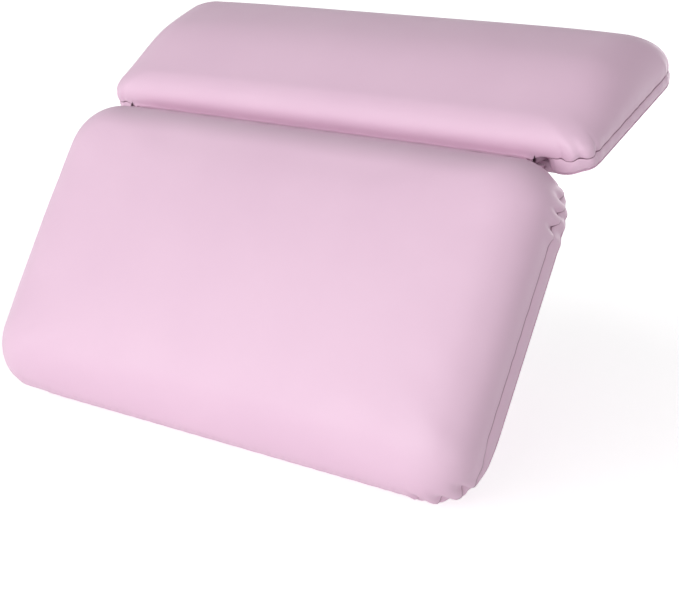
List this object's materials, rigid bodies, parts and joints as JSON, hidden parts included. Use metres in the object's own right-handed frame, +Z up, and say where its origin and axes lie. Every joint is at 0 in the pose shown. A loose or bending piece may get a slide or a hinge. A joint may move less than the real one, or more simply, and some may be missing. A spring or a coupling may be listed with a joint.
{
  "type": "bath pillow",
  "caption": "Padded bath pillow with a folding head panel, smooth vinyl skin, rolled edges and suction cups on its back.",
  "frame": {"origin": "middle of the mouth of the centre suction cup on the lower panel, where it meets the tub wall", "axes": "+X across the pillow to the right of someone facing the padding, -Y the way the padding faces, +Z up with the lower panel leaning back 31.5 degrees from upright"},
  "size_m": [0.376, 0.2444, 0.2443],
  "materials": {
    "cover_vinyl": "smooth satin vinyl, pale pink",
    "foam": "open-cell foam, cream",
    "clear_cup": "clear soft vinyl",
    "eyelet_plastic": "moulded plastic, pale pink"
  },
  "bodies": {
    "lower_panel": {"lower_front_cover": "cover_vinyl", "lower_side_band": "cover_vinyl", "lower_back_cover": "cover_vinyl", "lower_foam_core": "foam", "lower_eyelet_bottom_left": "eyelet_plastic", "lower_eyelet_bottom_right": "eyelet_plastic", "lower_eyelet_top_left": "eyelet_plastic", "lower_eyelet_top_right": "eyelet_plastic", "lower_eyelet_centre": "eyelet_plastic", "hinge_web": "cover_vinyl"},
    "upper_panel": {"upper_front_cover": "cover_vinyl", "upper_side_band": "cover_vinyl", "upper_back_cover": "cover_vinyl", "upper_foam_core": "foam", "upper_eyelet_left": "eyelet_plastic", "upper_eyelet_right": "eyelet_plastic"},
    "lower_cup_bottom_left": {"lower_cup_bottom_left": "clear_cup"},
    "lower_cup_bottom_right": {"lower_cup_bottom_right": "clear_cup"},
    "lower_cup_top_left": {"lower_cup_top_left": "clear_cup"},
    "lower_cup_top_right": {"lower_cup_top_right": "clear_cup"},
    "lower_cup_centre": {"lower_cup_centre": "clear_cup"},
    "upper_cup_left": {"upper_cup_left": "clear_cup"},
    "upper_cup_right": {"upper_cup_right": "clear_cup"}
  },
  "joints": [
    {"name": "panel_fold", "type": "hinge", "parent": "lower_panel", "child": "upper_panel", "pos_m": [0, 0.04008, 0.09565], "axis": [-1, 0, 0], "range_deg": [-36, 79], "deforming": ["hinge_web"]},
    {"name": "lower_cup_bottom_left_swivel", "type": "hinge", "parent": "lower_panel", "child": "lower_cup_bottom_left", "pos_m": [-0.139, -0.0303, -0.04945], "axis": [0, -0.8526, 0.5225], "continuous": true},
    {"name": "lower_cup_bottom_right_swivel", "type": "hinge", "parent": "lower_panel", "child": "lower_cup_bottom_right", "pos_m": [0.139, -0.0303, -0.04945], "axis": [0, -0.8526, 0.5225], "continuous": true},
    {"name": "lower_cup_top_left_swivel", "type": "hinge", "parent": "lower_panel", "child": "lower_cup_top_left", "pos_m": [-0.139, 0.0303, 0.04945], "axis": [0, -0.8526, 0.5225], "continuous": true},
    {"name": "lower_cup_top_right_swivel", "type": "hinge", "parent": "lower_panel", "child": "lower_cup_top_right", "pos_m": [0.139, 0.0303, 0.04945], "axis": [0, -0.8526, 0.5225], "continuous": true},
    {"name": "lower_cup_centre_swivel", "type": "hinge", "parent": "lower_panel", "child": "lower_cup_centre", "pos_m": [0, 0, 0], "axis": [0, -0.8526, 0.5225], "continuous": true},
    {"name": "upper_cup_left_swivel", "type": "hinge", "parent": "upper_panel", "child": "upper_cup_left", "pos_m": [-0.143, 0.10295, 0.10459], "axis": [0, -0.3827, 0.9239], "continuous": true},
    {"name": "upper_cup_right_swivel", "type": "hinge", "parent": "upper_panel", "child": "upper_cup_right", "pos_m": [0.143, 0.10295, 0.10459], "axis": [0, -0.3827, 0.9239], "continuous": true}
  ]
}
